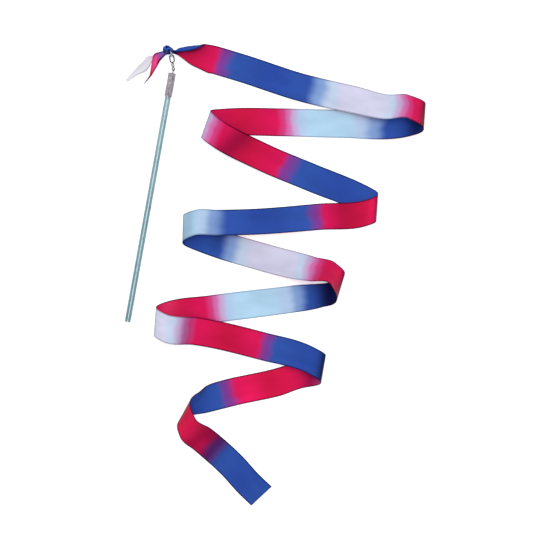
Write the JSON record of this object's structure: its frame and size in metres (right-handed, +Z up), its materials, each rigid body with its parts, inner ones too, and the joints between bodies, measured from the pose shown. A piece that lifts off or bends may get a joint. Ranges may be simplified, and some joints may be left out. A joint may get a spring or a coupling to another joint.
{
  "type": "rhythmic ribbon wand",
  "caption": "Gymnastics ribbon wand: slim round stick, grey tip sleeve, wire swivel and a long tie-dyed satin ribbon laid out flat in a loose zigzag.",
  "frame": {"origin": "centre of the footprint, on the surface that the wand and the ribbon lie on", "axes": "+Y along the stick from its butt towards the swivel, +Z up from the surface, +X towards the ribbon's zigzag"},
  "size_m": [0.4122, 0.6062, 0.0314],
  "materials": {
    "rod": "pale teal fibreglass, slightly translucent and mottled, polished",
    "sleeve": "pinkish grey shrink sleeve with fine mottling",
    "dark_wire": "dark nickelled wire, worn bright in places",
    "barrel": "light drawn barrel with rolled ends",
    "ribbon_satin": "satin weave, tie-dyed in crimson, royal blue and pale lavender with soft transitions, sheen along the length"
  },
  "bodies": {
    "ribbon": {"ribbon_loop": "ribbon_satin", "ribbon_knot": "ribbon_satin", "ribbon_tail_front": "ribbon_satin", "ribbon_tail_rear": "ribbon_satin", "ribbon_neck": "ribbon_satin", "ribbon_run_1a": "ribbon_satin", "ribbon_run_1b": "ribbon_satin", "ribbon_run_1c": "ribbon_satin", "ribbon_run_2": "ribbon_satin", "ribbon_run_3a": "ribbon_satin", "ribbon_run_3b": "ribbon_satin", "ribbon_run_4a": "ribbon_satin", "ribbon_run_4b": "ribbon_satin", "ribbon_run_5a": "ribbon_satin", "ribbon_run_5b": "ribbon_satin", "ribbon_run_5c": "ribbon_satin", "ribbon_run_6a": "ribbon_satin", "ribbon_run_6b": "ribbon_satin", "ribbon_run_7a": "ribbon_satin", "ribbon_run_7b": "ribbon_satin", "ribbon_run_7c": "ribbon_satin", "ribbon_run_8": "ribbon_satin", "ribbon_run_9": "ribbon_satin", "ribbon_bend_1": "ribbon_satin", "ribbon_bend_2": "ribbon_satin", "ribbon_bend_3": "ribbon_satin", "ribbon_bend_4": "ribbon_satin", "ribbon_bend_5": "ribbon_satin", "ribbon_bend_6": "ribbon_satin", "ribbon_bend_7": "ribbon_satin", "ribbon_bend_8": "ribbon_satin"},
    "upper_eye": {"swivel_upper_eye": "dark_wire"},
    "barrel": {"swivel_barrel": "barrel"},
    "lower_eye": {"swivel_lower_eye": "dark_wire"},
    "wand": {"rod": "rod", "tip_sleeve": "sleeve", "screw_eye": "dark_wire"}
  },
  "joints": [
    {"name": "ribbon_tie", "type": "hinge", "parent": "ribbon", "child": "upper_eye", "pos_m": [-0.1474, 0.28008, 0.005], "axis": [-0.9511, -0.309, 0], "range_deg": [0, 85]},
    {"name": "barrel_spin", "type": "hinge", "parent": "upper_eye", "child": "barrel", "pos_m": [-0.1413, 0.2613, 0.005], "axis": [-0.309, 0.9511, 0], "continuous": true},
    {"name": "swivel_spin", "type": "hinge", "parent": "upper_eye", "child": "lower_eye", "pos_m": [-0.1413, 0.2613, 0.005], "axis": [-0.309, 0.9511, 0], "range_deg": [0, 120]},
    {"name": "eye_link", "type": "hinge", "parent": "lower_eye", "child": "wand", "pos_m": [-0.1413, 0.2613, 0.005], "axis": [0, 0, 1], "range_deg": [-45, 4]}
  ]
}
